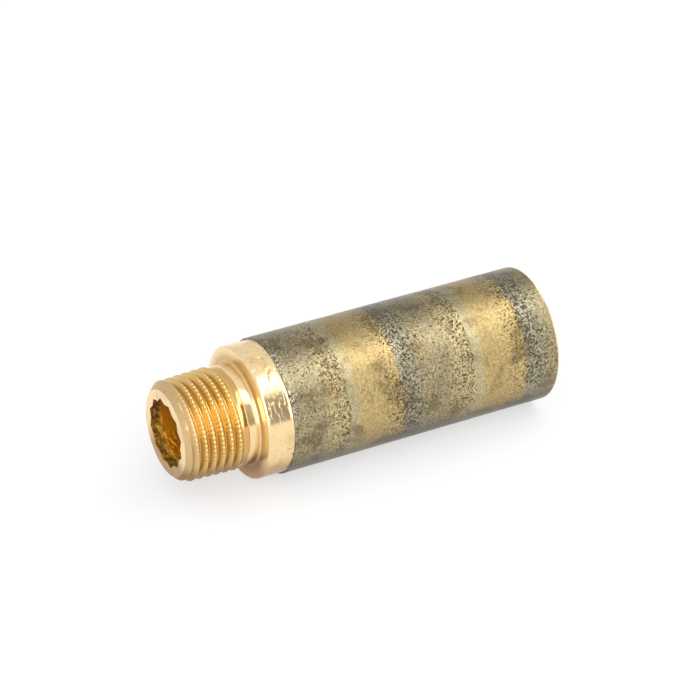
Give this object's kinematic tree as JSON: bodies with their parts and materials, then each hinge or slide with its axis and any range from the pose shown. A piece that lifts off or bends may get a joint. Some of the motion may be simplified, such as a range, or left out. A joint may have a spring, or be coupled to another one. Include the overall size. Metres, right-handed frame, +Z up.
{
  "type": "threaded pipe extension",
  "caption": "Straight hollow metal pipe extension with a tapered outside thread and key mouth at one end and a threaded socket at the other.",
  "frame": {"origin": "on the pipe axis, halfway along the length", "axes": "+X along the pipe axis, from the male thread towards the female socket; +Z up with the part lying on its side"},
  "size_m": [0.081, 0.0276, 0.0276],
  "materials": {
    "gunmetal": "satin cast skin on the body, bright turned metal on the thread, shoulder, land, end faces and bore"
  },
  "bodies": {
    "root": {"extension_body": "gunmetal"}
  },
  "joints": []
}
